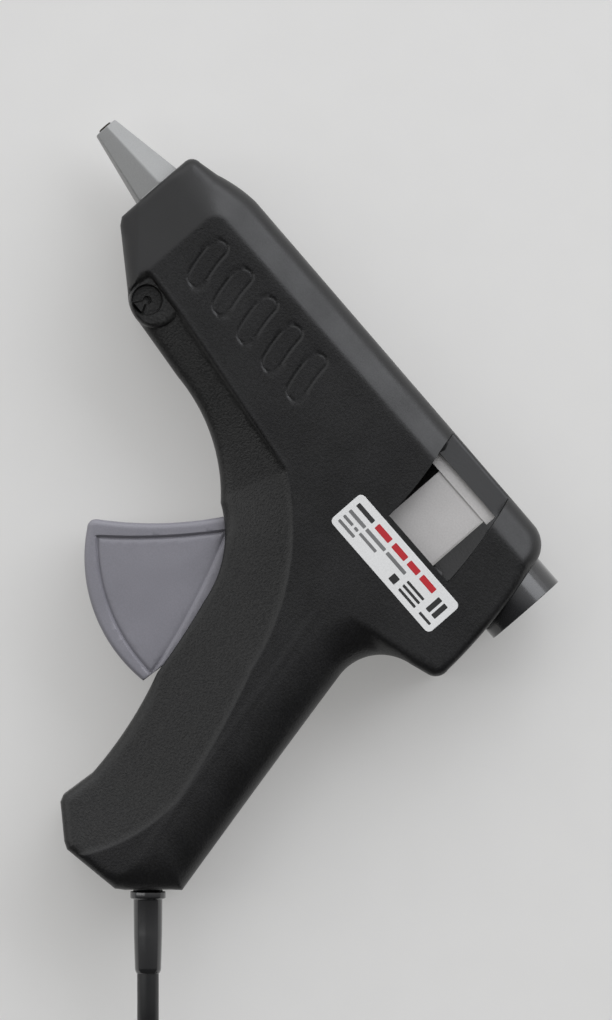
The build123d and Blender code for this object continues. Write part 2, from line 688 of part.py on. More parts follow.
PIN_LENGTH = 19.0
PIN_SPREAD = 9.3
PIN_ROOT = 1.8
plug_front = Plane(
    origin=EXIT.from_local_coords((plug_entry + PLUG_LENGTH, plug_level, plug_along)),
    x_dir=EXIT.z_dir,
    z_dir=EXIT.x_dir,
)
with BuildPart() as plug_body:
    with BuildSketch(plug_front):
        RectangleRounded(*PLUG_FACE, 5)
    extrude(amount=-13)
    with BuildSketch(plug_front.offset(-13)):
        RectangleRounded(*PLUG_FACE, 5)
    with BuildSketch(plug_front.offset(-PLUG_LENGTH)):
        RectangleRounded(12, 10, 4)
    loft()
    at([(-PIN_SPREAD, 0), (PIN_SPREAD, 0)], plug_front.offset(-8), PIN_ROOT, 9, Mode.SUBTRACT)
plug_body.part.label = "plug_body"
export_step(plug_body.part, "parts/plug_body.step")

with BuildPart() as plug_pins:
    at([(-PIN_SPREAD, 0), (PIN_SPREAD, 0)], plug_front.offset(-8), PIN_ROOT, 8)
    at([(-PIN_SPREAD, 0), (PIN_SPREAD, 0)], plug_front, PIN_RADIUS, PIN_LENGTH)
    tips = plug_pins.faces().filter_by(Plane(origin=(0, 0, 0), z_dir=EXIT.x_dir)).sort_by(
        Axis((0, 0, 0), EXIT.x_dir)
    )[-2:]
    fillet(tips.edges(), radius=1.2)
plug_pins.part.label = "plug_pins"
export_step(plug_pins.part, "parts/plug_pins.step")
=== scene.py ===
"""Looks of the hot-melt glue gun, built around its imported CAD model.

The gun plane is the parting plane between the housing halves. Its x runs back along the barrel from the
housing's nose, its y runs up from the barrel's axis and its z out of the gun's left side, all in
millimetres. gun() and model() turn that into the frame's metres.
"""
from math import atan2, ceil, cos, hypot, pi, radians, sin, sqrt

import bmesh
import bpy
import numpy as np
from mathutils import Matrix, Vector, kdtree
from mathutils.geometry import delaunay_2d_cdt


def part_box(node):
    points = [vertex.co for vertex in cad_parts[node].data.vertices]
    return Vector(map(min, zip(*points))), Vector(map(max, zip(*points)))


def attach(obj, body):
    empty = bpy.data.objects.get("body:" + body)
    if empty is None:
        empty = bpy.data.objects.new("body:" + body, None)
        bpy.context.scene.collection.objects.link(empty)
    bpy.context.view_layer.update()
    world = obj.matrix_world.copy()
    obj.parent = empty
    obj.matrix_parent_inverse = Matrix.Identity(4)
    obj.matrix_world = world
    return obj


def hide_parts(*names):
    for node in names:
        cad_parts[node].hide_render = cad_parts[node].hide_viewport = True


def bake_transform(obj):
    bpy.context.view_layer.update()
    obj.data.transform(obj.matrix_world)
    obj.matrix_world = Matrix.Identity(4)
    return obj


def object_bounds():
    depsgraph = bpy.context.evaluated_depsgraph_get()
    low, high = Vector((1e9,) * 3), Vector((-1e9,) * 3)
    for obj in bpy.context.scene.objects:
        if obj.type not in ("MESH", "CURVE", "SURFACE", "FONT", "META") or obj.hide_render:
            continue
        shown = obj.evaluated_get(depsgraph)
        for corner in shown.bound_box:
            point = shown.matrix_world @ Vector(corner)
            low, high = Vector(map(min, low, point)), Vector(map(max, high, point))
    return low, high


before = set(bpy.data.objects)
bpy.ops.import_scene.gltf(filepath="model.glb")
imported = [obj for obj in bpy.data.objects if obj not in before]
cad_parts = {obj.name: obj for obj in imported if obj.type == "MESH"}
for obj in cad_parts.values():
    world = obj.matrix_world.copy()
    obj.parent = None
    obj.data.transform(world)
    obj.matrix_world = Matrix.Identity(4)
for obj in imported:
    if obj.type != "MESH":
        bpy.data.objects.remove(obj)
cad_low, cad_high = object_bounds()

MM = 0.001
VIA = "via"  # marks a knot that is the middle of an arc
SLIVER = 1e-4  # square millimetres below which a triangle is only rounding error

# ---------------------------------------------------------------- places taken from the frame
guide_low, guide_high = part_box("inlet_guide")
shell_low, shell_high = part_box("left_shell")
NOSE = Vector((shell_low.x, (guide_low.y + guide_high.y) / 2, (guide_low.z + guide_high.z) / 2))
PANEL = (shell_high.z - NOSE.z) / MM  # half the barrel's thickness
FLOOR = (cad_low.z - NOSE.z) / MM
COLLAR_X = (guide_high.x - NOSE.x) / MM
TIP_X = (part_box("nozzle_tip")[0].x - NOSE.x) / MM


def gun(x, y, z=0.0):
    """Frame point of a place in the gun plane."""
    return NOSE + Vector((x, y, z)) * MM


# ---------------------------------------------------------------- camera
VIEW_TURN = radians(48.9)  # the barrel points down to the right by this much
VIEW_CENTRE = (97.55, -28.6)
VIEW_HEIGHT = 291.4 * MM
VIEW_DISTANCE = 4.0
SENSOR = 36.0

camera_data = bpy.data.cameras.new("camera")
camera_data.sensor_width = SENSOR
camera_data.lens = SENSOR * VIEW_DISTANCE / VIEW_HEIGHT
camera_data.clip_start = 0.05
camera_data.clip_end = 20
camera = bpy.data.objects.new("camera", camera_data)
camera.location = gun(*VIEW_CENTRE) + Vector((0, 0, VIEW_DISTANCE))
camera.rotation_euler = (0, 0, VIEW_TURN)
bpy.context.scene.collection.objects.link(camera)
bpy.context.scene.camera = camera
view_right = Vector((cos(VIEW_TURN), sin(VIEW_TURN), 0))
view_up = Vector((-sin(VIEW_TURN), cos(VIEW_TURN), 0))


# ---------------------------------------------------------------- materials
SPECK = 0.25  # share of its colour that the darkest speck keeps


def new_material(name):
    """Material with a bare Principled shader; returns it with its nodes and links."""
    material = bpy.data.materials.new(name)
    material.use_nodes = True
    nodes, links = material.node_tree.nodes, material.node_tree.links
    nodes.clear()
    shader = nodes.new("ShaderNodeBsdfPrincipled")
    output = nodes.new("ShaderNodeOutputMaterial")
    links.new(shader.outputs["BSDF"], output.inputs["Surface"])
    return material, nodes, links, shader


def noise(nodes, links, size, detail=3.0, roughness=0.5):
    """Noise in the object's own coordinates, with features of the given size in millimetres."""
    place = nodes.new("ShaderNodeTexCoord")
    texture = nodes.new("ShaderNodeTexNoise")
    texture.inputs["Scale"].default_value = 1 / (size * MM)
    texture.inputs["Detail"].default_value = detail
    texture.inputs["Roughness"].default_value = roughness
    links.new(place.outputs["Object"], texture.inputs["Vector"])
    return texture.outputs["Fac"]


def spread(nodes, links, source, low, high, start=0.35, end=0.65):
    """Map a noise's usual range onto low to high."""
    spreader = nodes.new("ShaderNodeMapRange")
    spreader.inputs["From Min"].default_value = start
    spreader.inputs["From Max"].default_value = end
    spreader.inputs["To Min"].default_value = low
    spreader.inputs["To Max"].default_value = high
    links.new(source, spreader.inputs["Value"])
    return spreader.outputs["Result"]


def attribute(nodes, name):
    """A number that the mesh carries at each point."""
    reader = nodes.new("ShaderNodeAttribute")
    reader.attribute_name = name
    return reader.outputs["Fac"]


def mixed(nodes, links, first, second, factor):
    """Two colours mixed by a factor. The first may be another node's output."""
    mix = nodes.new("ShaderNodeMix")
    mix.data_type = "RGBA"
    if isinstance(first, tuple):
        mix.inputs[6].default_value = (*first, 1)
    else:
        links.new(first, mix.inputs[6])
    mix.inputs[7].default_value = (*second, 1)
    links.new(factor, mix.inputs[0])
    return mix.outputs[2]


def computed(nodes, links, operation, first, second):
    """Sum or product of two outputs."""
    node = nodes.new("ShaderNodeMath")
    node.operation = operation
    links.new(first, node.inputs[0])
    links.new(second, node.inputs[1])
    return node.outputs[0]


def moulded(name, colour, roughness, grain=0.5, depth=0.02, shade=1.25, metallic=0.0, specular=0.5,
            coat=0.0, band_light=None, speckle=0.12):
    """Moulded, cast or drawn surface: fine grain as bump and speckle, soft blotches of colour and gloss.

    A second colour, if given, is a lighter tone painted on the band to stand in for the light that the band
    catches, and makes the mesh's numbers "grain" and "band" set the strength of the grain and how far the
    colour goes over to the second one."""
    material, nodes, links, shader = new_material(name)
    shader.inputs["Metallic"].default_value = metallic
    shader.inputs["Specular IOR Level"].default_value = specular
    if coat:
        shader.inputs["Coat Weight"].default_value = coat
        shader.inputs["Coat Roughness"].default_value = 0.12
    fine = noise(nodes, links, grain, 2.5, 0.55)
    wide = noise(nodes, links, 14.0, 3.0)
    blotch = spread(nodes, links, wide, 0, 1)
    tone = mixed(nodes, links, colour, tuple(part * shade for part in colour), blotch)
    darker = spread(nodes, links, fine, speckle, 0)
    bump = nodes.new("ShaderNodeBump")
    bump.inputs["Distance"].default_value = depth * MM
    if band_light:
        strength = attribute(nodes, "grain")
        # Painted light: over the band the colour goes over to the second, lighter one.
        tone = mixed(nodes, links, tone, band_light, attribute(nodes, "band"))
        links.new(strength, bump.inputs["Strength"])
        darker = computed(nodes, links, "MULTIPLY", darker, strength)
    tone = mixed(nodes, links, tone, tuple(part * SPECK for part in colour), darker)
    links.new(tone, shader.inputs["Base Color"])
    slow = spread(nodes, links, wide, roughness - 0.06, roughness + 0.06)
    quick = spread(nodes, links, fine, -0.03, 0.03)
    links.new(computed(nodes, links, "ADD", slow, quick), shader.inputs["Roughness"])
    links.new(fine, bump.inputs["Height"])
    links.new(bump.outputs["Normal"], shader.inputs["Normal"])
    return material


def metal(name, colour, roughness, grain=0.5, depth=0.005, shade=0.85):
    """Bare metal."""
    return moulded(name, colour, roughness, grain, depth, shade, metallic=1.0)


# Its second colour is a lighter tone painted on the band down the grip's front, standing in for the light
# that the band's lean catches.
housing_plastic = moulded(
    "housing_plastic", (0.0090, 0.0089, 0.0091), 0.37, grain=0.6, depth=0.13, specular=0.42,
    band_light=(0.0155, 0.0154, 0.0145), speckle=1.0,
)
trigger_plastic = moulded("trigger_plastic", (0.225, 0.22, 0.246), 0.4, 0.4, 0.006, 1.06)
silicone = moulded("grey_silicone", (0.29, 0.292, 0.288), 0.44, 0.35, 0.006, 1.05)
carriage_plastic = moulded("carriage_plastic", (0.53, 0.515, 0.503), 0.38, 0.5, 0.008, 1.06)
inlet_plastic = moulded("inlet_plastic", (0.013, 0.013, 0.014), 0.2, 0.5, 0.004, coat=0.6)
# Painted shade: the brass is darkened to stand in for the shade that lies on the nozzle's tip.
brass = metal("shade_darkened_brass", (0.045, 0.038, 0.03), 0.45, 0.6, 0.01)
bright_steel = metal("bright_steel", (0.6, 0.6, 0.6), 0.2, 0.4, 0.003)
spring_steel = metal("spring_steel", (0.4, 0.4, 0.41), 0.33, 0.4, 0.004)
steel_screw = metal("steel_screw", (0.5, 0.5, 0.49), 0.36, 0.3, 0.008)
cast_aluminium = metal("cast_aluminium", (0.55, 0.55, 0.56), 0.5, 0.7, 0.05)
electrode = metal("electrode", (0.65, 0.65, 0.66), 0.35)
plated_pin = metal("plated_pin", (0.68, 0.66, 0.62), 0.18, 0.5, 0.002, 0.92)
insulator = moulded("insulator", (0.12, 0.06, 0.03), 0.5, 0.6, 0.02)
ceramic = moulded("ptc_ceramic", (0.1, 0.1, 0.11), 0.6, 0.3, 0.02)
film = moulded("film", (0.3, 0.12, 0.015), 0.25, 0.8, 0.004, coat=0.4)
red_silicone = moulded("red_silicone", (0.3, 0.03, 0.02), 0.5, 0.4, 0.008)
cord_jacket = moulded("cord_jacket", (0.010, 0.010, 0.0105), 0.36, 0.5, 0.012)
wire_sleeve = moulded("wire_insulation", (0.3, 0.26, 0.22), 0.7, 0.35, 0.05)
relief_rubber = moulded("relief_rubber", (0.008, 0.008, 0.0085), 0.18, 0.5, 0.004, coat=1.0)
plug_plastic = moulded("plug_plastic", (0.011, 0.011, 0.0115), 0.42, 0.5, 0.02)
label_film = moulded("label", (0.8, 0.8, 0.79), 0.32, 0.3, 0.002, 1.03)
ink_black = moulded("ink_black", (0.02, 0.02, 0.02), 0.4, 0.2, 0.001)
ink_grey = moulded("ink_grey", (0.16, 0.16, 0.16), 0.4, 0.2, 0.001)
ink_red = moulded("ink_red", (0.55, 0.02, 0.03), 0.4, 0.2, 0.001, 0.9)


# ---------------------------------------------------------------- outlines
def arc(start, middle, end, step):
    """Points of the circle through three points, from start up to but not including end."""
    (ax, ay), (bx, by), (cx, cy) = start, middle, end
    d = 2 * (ax * (by - cy) + bx * (cy - ay) + cx * (ay - by))
    a2, b2, c2 = ax * ax + ay * ay, bx * bx + by * by, cx * cx + cy * cy
    ox = (a2 * (by - cy) + b2 * (cy - ay) + c2 * (ay - by)) / d
    oy = (a2 * (cx - bx) + b2 * (ax - cx) + c2 * (bx - ax)) / d
    radius = hypot(ax - ox, ay - oy)
    first, mid, last = (atan2(y - oy, x - ox) for x, y in (start, middle, end))
    turn = (last - first) % (2 * pi)
    if (mid - first) % (2 * pi) > turn:
        turn -= 2 * pi
    count = max(2, ceil(abs(turn) * radius / step))
    angles = [first + turn * i / count for i in range(count)]
    return [(ox + radius * cos(a), oy + radius * sin(a)) for a in angles]


def straight(start, end, step):
    """Points of a line, from start up to but not including end."""
    count = max(1, ceil(hypot(end[0] - start[0], end[1] - start[1]) / step))
    return [
        (start[0] + (end[0] - start[0]) * i / count, start[1] + (end[1] - start[1]) * i / count)
        for i in range(count)
    ]


def trace(knots, step=0.8, closed=True):
    """Points along corners joined by lines, or by an arc where the knot between two says VIA."""
    stops = list(knots) + [knots[0]] if closed else list(knots)
    points, i = [], 0
    while i < len(stops) - 1:
        if len(stops[i + 1]) == 3:
            points += arc(stops[i][:2], stops[i + 1][:2], stops[i + 2][:2], step)
            i += 2
        else:
            points += straight(stops[i][:2], stops[i + 1][:2], step)
            i += 1
    if not closed:
        points.append(stops[-1][:2])
    return np.array(points, float)


def ring(x, y, radius, step=0.8):
    """Closed circle of points."""
    count = max(12, ceil(2 * pi * radius / step))
    angles = 2 * pi * np.arange(count) / count
    return np.column_stack([x + radius * np.cos(angles), y + radius * np.sin(angles)])


def rounded_box(x, y, width, height, radius, step=0.6):
    """Closed rectangle with round corners."""
    points = []
    for corner, (sx, sy) in enumerate(((1, 1), (-1, 1), (-1, -1), (1, -1))):
        ox, oy = x + sx * (width / 2 - radius), y + sy * (height / 2 - radius)
        for i in range(7):
            angle = (corner + i / 6) * pi / 2
            points.append((ox + radius * cos(angle), oy + radius * sin(angle)))
    points.append(points[0])
    return np.array([p for a, b in zip(points, points[1:]) for p in straight(a, b, step)])


def away(points, line, closed=True):
    """Distance from each point to a polyline."""
    a = line if closed else line[:-1]
    b = np.roll(line, -1, 0) if closed else line[1:]
    run = b - a
    square = (run**2).sum(1)
    result = np.empty(len(points))
    for start in range(0, len(points), 1500):
        p = points[start:start + 1500, None, :]
        t = np.clip(((p - a) * run).sum(2) / square, 0, 1)
        gap = p - a - t[..., None] * run
        result[start:start + 1500] = np.sqrt((gap**2).sum(2).min(1))
    return result


def within(points, loop):
    """True for each point inside a closed loop."""
    a, b = loop, np.roll(loop, -1, 0)
    result = np.zeros(len(points), bool)
    for start in range(0, len(points), 3000):
        x, y = points[start:start + 3000, 0, None], points[start:start + 3000, 1, None]
        above = (a[:, 1] > y) != (b[:, 1] > y)
        rise = np.where(b[:, 1] == a[:, 1], 1e-12, b[:, 1] - a[:, 1])
        left = x < (b[:, 0] - a[:, 0]) * (y - a[:, 1]) / rise + a[:, 0]
        result[start:start + 3000] = (above & left).sum(1) % 2 == 1
    return result


def ramp(x, start, end):
    """Smooth step from 0 at start to 1 at end."""
    t = np.clip((x - start) / (end - start), 0, 1)
    return t * t * (3 - 2 * t)


def soft_min(a, b, radius):
    """The lower of two heights, with the crease between them rounded."""
    h = np.clip(0.5 + 0.5 * (b - a) / radius, 0, 1)
    return b + (a - b) * h - radius * h * (1 - h)


def rounding(edge, width, drop):
    """How far a surface has dropped at a distance from its edge, on a quarter of an ellipse."""
    inset = np.clip((width - edge) / width, 0, 1)
    return drop * (1 - np.sqrt(1 - inset**2))


# ---------------------------------------------------------------- meshes
def model(name, points, faces, material, smooth=35.0, **layers):
    """Object from points in the gun plane's millimetres. Layers are numbers per point."""
    mesh = bpy.data.meshes.new(name)
    mesh.from_pydata([tuple(gun(*p)) for p in points], [], faces)
    for layer, values in layers.items():
        mesh.attributes.new(layer, "FLOAT", "POINT").data.foreach_set("value", np.float32(values))
    work = bmesh.new()
    work.from_mesh(mesh)
    bmesh.ops.remove_doubles(work, verts=work.verts, dist=1e-7)
    bmesh.ops.recalc_face_normals(work, faces=work.faces)
    work.to_mesh(mesh)
    work.free()
    mesh.materials.append(material)
    mesh.shade_smooth()
    mesh.set_sharp_from_angle(angle=radians(smooth))
    piece = bpy.data.objects.new(name, mesh)
    bpy.context.scene.collection.objects.link(piece)
    return piece


def placed(piece, body, slot, *nodes):
    """Say which body a piece rides on and the CAD nodes that it stands for; the finish given as slot is not
    used.
    """
    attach(piece, body)
    if nodes:
        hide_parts(*nodes)
    return piece


def apart(groups, gap):
    """Points of all groups, without those nearer than gap to a point of an earlier group."""
    kept = list(groups[0])
    for group in groups[1:]:
        tree = kdtree.KDTree(len(kept))
        for i, (x, y) in enumerate(kept):
            tree.insert((x, y, 0), i)
        tree.balance()
        kept += [p for p in group if tree.find((p[0], p[1], 0))[2] > gap]
    return np.array(kept)


def lattice(low, high, pitch):
    """Staggered grid of points over a box."""
    rows = np.arange(low[1], high[1], pitch * 0.866)
    columns = np.arange(low[0], high[0], pitch)
    return np.array([
        (x + (pitch / 2 if j % 2 else 0), y) for j, y in enumerate(rows) for x in columns
    ])


def beside(line, offsets, closed=True):
    """Points at set distances to the left of a polyline, or to the right where negative."""
    along = np.roll(line, -1, 0) - np.roll(line, 1, 0)
    if not closed:
        along[0], along[-1] = line[1] - line[0], line[-1] - line[-2]
    along /= np.linalg.norm(along, axis=1)[:, None]
    across = np.column_stack([-along[:, 1], along[:, 0]])
    return np.vstack([line + across * offset for offset in offsets])


def tiled(loops, inner=()):
    """Triangles that fill the first loop but not the others, with the given inner points.

    Returns the points, the triangles and, for each loop, its points' numbers."""
    points = [Vector(p) for loop in loops for p in loop] + [Vector(p[:2]) for p in inner]
    edges, starts, count = [], [], 0
    for loop in loops:
        starts.append(count)
        edges += [(count + i, count + (i + 1) % len(loop)) for i in range(len(loop))]
        count += len(loop)
    made, _, faces, origins, _, _ = delaunay_2d_cdt(points, edges, [], 0, 1e-5)
    flat = np.array([(v.x, v.y) for v in made])
    triangles = np.array([tuple(f) for f in faces if len(f) == 3])
    corners = flat[triangles]
    middle = corners.mean(1)
    first, second = corners[:, 1] - corners[:, 0], corners[:, 2] - corners[:, 0]
    area = np.abs(first[:, 0] * second[:, 1] - first[:, 1] * second[:, 0]) / 2
    # Slivers between points in line along a straight edge belong to neither side.
    keep = within(middle, loops[0]) & (area > SLIVER)
    for loop in loops[1:]:
        keep &= ~within(middle, loop)
    number = {source: i for i, sources in enumerate(origins) for source in sources}
    rings = [[number[start + i] for i in range(len(loop))] for start, loop in zip(starts, loops)]
    return flat, triangles[keep], rings


class Solid:
    """Collects points and faces of one closed body."""

    def __init__(self):
        self.points, self.faces = [], []

    def ring(self, flat, heights):
        """Add points; returns their numbers."""
        start = len(self.points)
        self.points += [(x, y, z) for (x, y), z in zip(flat, np.broadcast_to(heights, len(flat)))]
        return list(range(start, len(self.points)))

    def sheet(self, flat, heights, triangles, rings):
        """Add a surface; returns the numbers of its rings' points."""
        numbers = self.ring(flat, heights)
        self.faces += [tuple(numbers[i] for i in t) for t in triangles]
        return [[numbers[i] for i in each] for each in rings]

    def wall(self, first, second):
        """Join two rings of as many points."""
        for i in range(len(first)):
            j = (i + 1) % len(first)
            self.faces.append((first[i], first[j], second[j], second[i]))


def lofted(name, rings, material, smooth=35.0, closed=False, capped=True):
    """Skin over rings of as many points, closed into a torus or capped at both ends."""
    count = len(rings[0])
    points = [p for each in rings for p in each]
    faces = []
    for k in range(len(rings) if closed else len(rings) - 1):
        a, b = k * count, (k + 1) % len(rings) * count
        faces += [(a + i, a + (i + 1) % count, b + (i + 1) % count, b + i) for i in range(count)]
    if capped and not closed:
        faces += [tuple(range(count)), tuple(range(len(points) - count, len(points)))]
    return model(name, points, faces, material, smooth)


def turned(name, profile, material, start=(0.0, 0.0, 0.0), angle=0.0, sides=64, smooth=35.0):
    """Lathe a closed profile of (along, radius) about an axis that lies level in the gun plane."""
    rings = []
    for along, radius in profile:
        turns = [2 * pi * i / sides for i in range(sides)]
        rings.append([
            (
                start[0] + along * cos(angle) - radius * cos(t) * sin(angle),
                start[1] + along * sin(angle) + radius * cos(t) * cos(angle),
                start[2] + radius * sin(t),
            )
            for t in turns
        ])
    return lofted(name, rings, material, smooth, closed=True)


def eased(corners, radius, steps=3):
    """Round each corner of a closed profile by a short curve."""
    result = []
    for i, here in enumerate(corners):
        before, after = Vector(corners[i - 1]), Vector(corners[(i + 1) % len(corners)])
        here = Vector(here)
        back, on = before - here, after - here
        reach = min(radius, back.length * 0.45, on.length * 0.45)
        start, end = here + back.normalized() * reach, here + on.normalized() * reach
        for k in range(steps + 1):
            t = k / steps
            result.append(tuple(start * (1 - t) ** 2 + here * 2 * t * (1 - t) + end * t * t))
    return result


def wire(name, path, radius, material, sides=10):
    """Round wire swept along points, with its ends capped."""
    points = [Vector(p) for p in path]
    normal = (points[1] - points[0]).orthogonal().normalized()
    rings = []
    for i, here in enumerate(points):
        along = (points[min(i + 1, len(points) - 1)] - points[max(i - 1, 0)]).normalized()
        normal = (normal - along * normal.dot(along)).normalized()
        side = along.cross(normal)
        turns = [2 * pi * k / sides for k in range(sides)]
        rings.append([tuple(here + (normal * cos(t) + side * sin(t)) * radius) for t in turns])
    return lofted(name, rings, material, 60.0)


def slab(name, loop, low, high, material, bevel=0.15):
    """Flat plate between two heights, with its upper and lower edges bevelled."""
    solid = Solid()
    inner = beside(loop, (bevel,))
    flat, triangles, (edge,) = tiled([inner])
    top = solid.sheet(flat, high, triangles, [edge])[0]
    upper, lower = solid.ring(loop, high - bevel), solid.ring(loop, low + bevel)
    bottom = solid.sheet(flat, low, triangles, [edge])[0]
    for first, second in ((top, upper), (upper, lower), (lower, bottom)):
        solid.wall(first, second)
    return model(name, solid.points, solid.faces, material)


# ---------------------------------------------------------------- cord, strain relief and plug
CORD_ANGLE = radians(-41.1)
CORD_EXIT = (149.7, -134.0)
CORD_RADIUS = 3.1
RELIEF_END = 24.0
LANE = 6.4  # spacing of the coil's turns
COIL_LANES = (27.6, 34.0, 40.4)
COIL_CENTRE = (40.4, 95.2)
PLUG_ENTRY = (41.4, 2.85, 129.5)
PLUG_FACE = 36.0  # entry to face
PIN_SPREAD = 9.3
CORD_ROUTE = [(0, 0, RELIEF_END), (0, 0, 40), (0, -6.8, 56), (0, -13.9, 71), (0.4, -13.9, 88)]
END_ROUTE = [
    (0, FLOOR + 9.5, 88.2), (0, FLOOR + 12.5, 104.2), (9.2, FLOOR + 17.2, 120.2), (25.2, 2.85, 129.5),
    PLUG_ENTRY,
]


def leading(across, up, along):
    """Gun-plane place of a point given from the cord's exit."""
    return (
        CORD_EXIT[0] - across * sin(CORD_ANGLE) + along * cos(CORD_ANGLE),
        CORD_EXIT[1] + across * cos(CORD_ANGLE) + along * sin(CORD_ANGLE),
        up,
    )


def coil_point(degrees):
    """Place in the coil after so many degrees: three lanes inwards below, then back outwards above."""
    near, middle, far = COIL_LANES
    changes = ((280, far, middle), (640, middle, near), (1280, near, middle), (1640, middle, far))
    radius = far
    for start, before, after in changes:
        radius += (after - before) * float(ramp(degrees, start, start + 80))
    climb = float(ramp(degrees, 1000, 1080))
    level = FLOOR + CORD_RADIUS + LANE * sqrt(1 - (1 - climb) ** 2)
    angle = pi - radians(degrees)
    return (COIL_CENTRE[0] + radius * cos(angle), level, COIL_CENTRE[1] + radius * sin(angle))


route = CORD_ROUTE + [coil_point(degrees) for degrees in range(10, 1780, 20)] + END_ROUTE
cord_curve = bpy.data.curves.new("power_lead", "CURVE")
cord_curve.dimensions = "3D"
cord_curve.bevel_depth = CORD_RADIUS * MM
cord_curve.bevel_resolution = 5
cord_curve.resolution_u = 6
cord_curve.use_fill_caps = True
spline = cord_curve.splines.new("NURBS")
spline.points.add(len(route) - 1)
for knot, place in zip(spline.points, route):
    knot.co = (*gun(*leading(*place)), 1)
spline.order_u = 3
spline.use_endpoint_u = True
cord_curve.materials.append(cord_jacket)
lead = bpy.data.objects.new("power_lead", cord_curve)
bpy.context.scene.collection.objects.link(lead)
placed(lead, "housing", "cord_jacket", "power_cord", "cord_coil", "cord_end")

relief = turned("relief_boot", eased([
    (-5.9, 3.15), (-5.9, 6), (-3, 6), (-3, 4.2), (0.3, 4.2), (0.3, 5.1), (2.4, 5.1), (2.5, 4.15),
    (13, 4.05), (RELIEF_END - 1.2, 3.75), (RELIEF_END, 3.2), (RELIEF_END - 1, 3.15),
], 0.5, 4), relief_rubber, (*CORD_EXIT, 0), CORD_ANGLE)
placed(relief, "housing", "relief_rubber", "strain_relief")


def oval(distance, width, height, power, count=48):
    """Section of the plug, so far from where the cord enters it."""
    points = []
    for i in range(count):
        c, s = cos(2 * pi * i / count), sin(2 * pi * i / count)
        across = abs(c) ** (2 / power) * (1 if c > 0 else -1) * width
        up = abs(s) ** (2 / power) * (1 if s > 0 else -1) * height
        points.append(leading(PLUG_ENTRY[0] + distance, PLUG_ENTRY[1] + up, PLUG_ENTRY[2] + across))
    return points


plug_sections = [(0, 3.3, 3.3, 2), (0.4, 3.8, 3.8, 2)]
for k in range(4):
    for shift, radius in ((0.9, 3.9), (1.15, 4.6), (1.35, 4.75), (2.35, 4.75), (2.55, 4.6), (2.8, 3.9)):
        plug_sections.append((2.5 * k + shift, radius, radius, 2))
plug_sections += [
    (11.2, 4.1, 4.1, 2), (11.9, 5.0, 4.8, 2.1), (13.2, 7.2, 5.5, 2.3), (15.5, 10.4, 6.1, 2.6),
    (18.5, 13.6, 6.5, 3), (22, 16.2, 6.75, 3.4), (26, 17.3, 6.8, 3.7), (30, 17.5, 6.8, 3.8),
    (34, 17.4, 6.75, 3.8), (35.2, 17.0, 6.45, 3.8), (35.8, 16.4, 5.9, 3.7), (PLUG_FACE, 15.6, 5.2, 3.6),
]
plug = lofted("plug", [oval(*section) for section in plug_sections], plug_plastic, 40.0)
placed(plug, "housing", "plug_plastic", "plug_body")
for side, name in ((-1, "pin_sleeve_a"), (1, "pin_sleeve_b")):
    start = leading(PLUG_ENTRY[0] + PLUG_FACE, PLUG_ENTRY[1], PLUG_ENTRY[2] + side * PIN_SPREAD)
    profile = eased([(-0.3, 1.9), (-0.3, 2.07), (10, 2.07), (10, 1.9)], 0.1, 2)
    sleeve = turned(name, profile, plug_plastic, start, CORD_ANGLE + pi / 2, 32)
    placed(sleeve, "housing", "plug_plastic")

# ---------------------------------------------------------------- housing
OUTLINE = [
    (0, 11), (0, -13.2), (1.6, -15.2), (17.6, -26.2), (21.5, -28.6, VIA), (26, -29.3), (45, -31.2),
    (64, -35.2, VIA), (80, -45.6), (91.2, -54.2, VIA), (98, -67.5), (101.6, -79, VIA), (104.6, -91),
    (110.6, -107.5, VIA), (114, -124), (113.2, -134), (114.2, -136), (123.4, -142.5),
    (125.6, -143.4), (143, -140.5), (145.2, -138.6), (153.7, -128.8), (156, -126.4),
    (146.8, -86, VIA), (139.3, -52), (141.8, -40.8, VIA), (150.2, -35), (155.6, -33.2),
    (157.9, -31.4, VIA), (158.4, -28), (156.1, -8, VIA), (152, 9.6), (149.4, 15.2, VIA),
    (143.6, 17.6), (22, 18.4), (15, 17.2, VIA), (9, 15.2), (3.2, 13.8), (0.9, 12.9, VIA),
]
WINDOW_TOP, WINDOW_FOOT = 10.8, -11.8
WINDOW = [
    (110.2, WINDOW_TOP), (134.5, WINDOW_TOP), (134.5, 7.2), (133.3, 7.2), (133.3, WINDOW_FOOT),
    (114.3, WINDOW_FOOT), (113, -1, VIA),
]
FAR_WINDOW = [(115, WINDOW_TOP), (134.5, WINDOW_TOP), (134.5, WINDOW_FOOT), (115, WINDOW_FOOT)]
LAND = [  # sunken shelf over the window, and the ramp behind it
    (108.5, 18.0), (132.6, 18.0), (137.6, 0.6, VIA), (139.6, WINDOW_FOOT), (133.1, WINDOW_FOOT),
    (133.1, 9.8), (111.5, 9.8), (110.2, WINDOW_TOP),
]
LAND_LEVEL = 11.9
CREASE = [  # between the flank and the band that runs down the grip's front
    (16, -17.4), (31, -18.6), (85, -25.3), (108, -44.2, VIA), (121.5, -70), (130, -91, VIA),
    (135.8, -110), (134.8, -128, VIA), (126, -147),
]
BAND_FAR_SIDE = [(60, -147), (60, -60), (16, -60)]
PANEL_FRONT, PANEL_TOP = 16.6, 8.4  # edges of the flat flank, before the sloping nose and top
PANEL_CORNER = 4.0
NOSE_TAPER, TOP_TAPER, CHIN_TAPER = 0.33, 0.5, 0.62
CHIN, CHIN_WAY = (2.0, -8.2), (14, 15.2)  # a place on the nose's lower crease, and the way up across it
CORNER_CUT = 0.293 * PANEL_CORNER
BOSS = (24.6, -21.8, 7.3)
BOSS_TOP = 15.7
SOCKET = (22.8, -23.4, 4.5)
SOCKET_DEPTH = 2.3
WIRE_HOLE, WIRE_FLOOR = 1.3, PANEL - 6.5
WALL, THIN_WALL = 2.2, 0.75  # the thin one is under the sunken land
